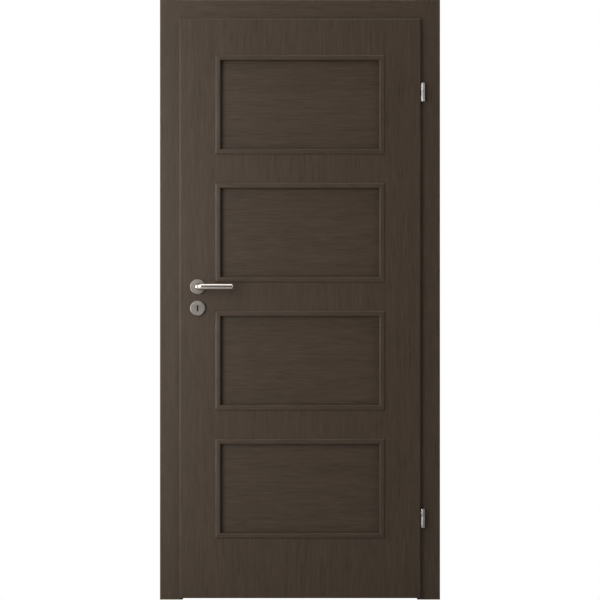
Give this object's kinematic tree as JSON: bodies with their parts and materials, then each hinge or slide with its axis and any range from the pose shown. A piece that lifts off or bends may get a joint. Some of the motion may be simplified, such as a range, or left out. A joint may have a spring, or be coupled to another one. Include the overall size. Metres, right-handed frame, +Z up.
{
  "type": "interior door with frame",
  "caption": "Rebated dark wood panelled interior door leaf in an adjustable wrap-round frame, with barrel hinges, a lever handle on round roses and a mortice lock.",
  "frame": {"origin": "on the finished floor, at the middle of the frame's width, in the wall's front face behind the front architraves", "axes": "+X to the hinge side, +Y into the wall, away from the side that the leaf opens to, +Z up"},
  "size_m": [0.984, 0.223, 2.108],
  "materials": {
    "frame_wood": "satin",
    "leaf_wood": "satin",
    "panel_wood": "satin",
    "moulding_wood": "satin",
    "satin_steel": "satin",
    "zinc_steel": "satin",
    "nylon": "matte",
    "seal_rubber": "matte"
  },
  "bodies": {
    "frame": {"jamb_lock_side": "frame_wood", "jamb_hinge_side": "frame_wood", "jamb_head": "frame_wood", "architrave_front_lock_side": "frame_wood", "architrave_front_hinge_side": "frame_wood", "architrave_front_head": "frame_wood", "architrave_rear_lock_side": "frame_wood", "architrave_rear_hinge_side": "frame_wood", "architrave_rear_head": "frame_wood", "frame_seal": "seal_rubber", "strike_plate": "zinc_steel", "strike_screws": "zinc_steel", "hinge_frame_knuckle_upper": "satin_steel", "hinge_frame_knuckle_lower": "satin_steel", "hinge_pin_upper": "zinc_steel", "hinge_pin_lower": "zinc_steel"},
    "leaf": {"stile_lock": "leaf_wood", "stile_hinge": "leaf_wood", "rail_top": "leaf_wood", "rail_upper": "leaf_wood", "rail_middle": "leaf_wood", "rail_lower": "leaf_wood", "rail_bottom": "leaf_wood", "skin_front": "leaf_wood", "skin_back": "leaf_wood", "panel_1": "panel_wood", "panel_2": "panel_wood", "panel_3": "panel_wood", "panel_4": "panel_wood", "beads_front_1": "moulding_wood", "beads_front_2": "moulding_wood", "beads_front_3": "moulding_wood", "beads_front_4": "moulding_wood", "beads_back_1": "moulding_wood", "beads_back_2": "moulding_wood", "beads_back_3": "moulding_wood", "beads_back_4": "moulding_wood", "hinge_leaf_knuckle_upper": "satin_steel", "hinge_leaf_knuckle_lower": "satin_steel", "lock_case": "zinc_steel", "lock_cover": "zinc_steel", "lock_faceplate": "zinc_steel", "lock_screws": "zinc_steel", "latch_spring": "zinc_steel", "rose_base_front": "nylon", "rose_base_back": "nylon", "rose_cover_front": "satin_steel", "rose_cover_back": "satin_steel", "key_rose_base_front": "nylon", "key_rose_base_back": "nylon", "key_rose_cover_front": "satin_steel", "key_rose_cover_back": "satin_steel", "rose_screws": "zinc_steel"},
    "handle": {"lever_front": "satin_steel", "lever_back": "satin_steel", "spindle": "zinc_steel", "follower": "zinc_steel", "lever_grub_screws": "zinc_steel"},
    "latch": {"latch_bolt": "zinc_steel"},
    "deadbolt": {"dead_bolt": "zinc_steel"}
  },
  "joints": [
    {"name": "leaf_swing", "type": "hinge", "parent": "frame", "child": "leaf", "pos_m": [0.4305, -0.026, 1], "axis": [0, 0, 1], "range_deg": [0, 175]},
    {"name": "handle_turn", "type": "hinge", "parent": "leaf", "child": "handle", "pos_m": [-0.3575, -0.0025, 1.099], "axis": [0, 1, 0], "range_deg": [0, 40], "stiffness_Nm_per_rad": 2, "springref_deg": -28.65},
    {"name": "latch_slide", "type": "slide", "parent": "leaf", "child": "latch", "axis": [1, 0, 0], "range_m": [0, 0.0115], "deforming": ["latch_spring"]},
    {"name": "deadbolt_throw", "type": "slide", "parent": "leaf", "child": "deadbolt", "axis": [-1, 0, 0], "range_m": [0, 0.015]}
  ],
  "couplings": [
    {"joint": "latch_slide", "follows": "handle_turn", "m_per_rad": 0.01647}
  ]
}
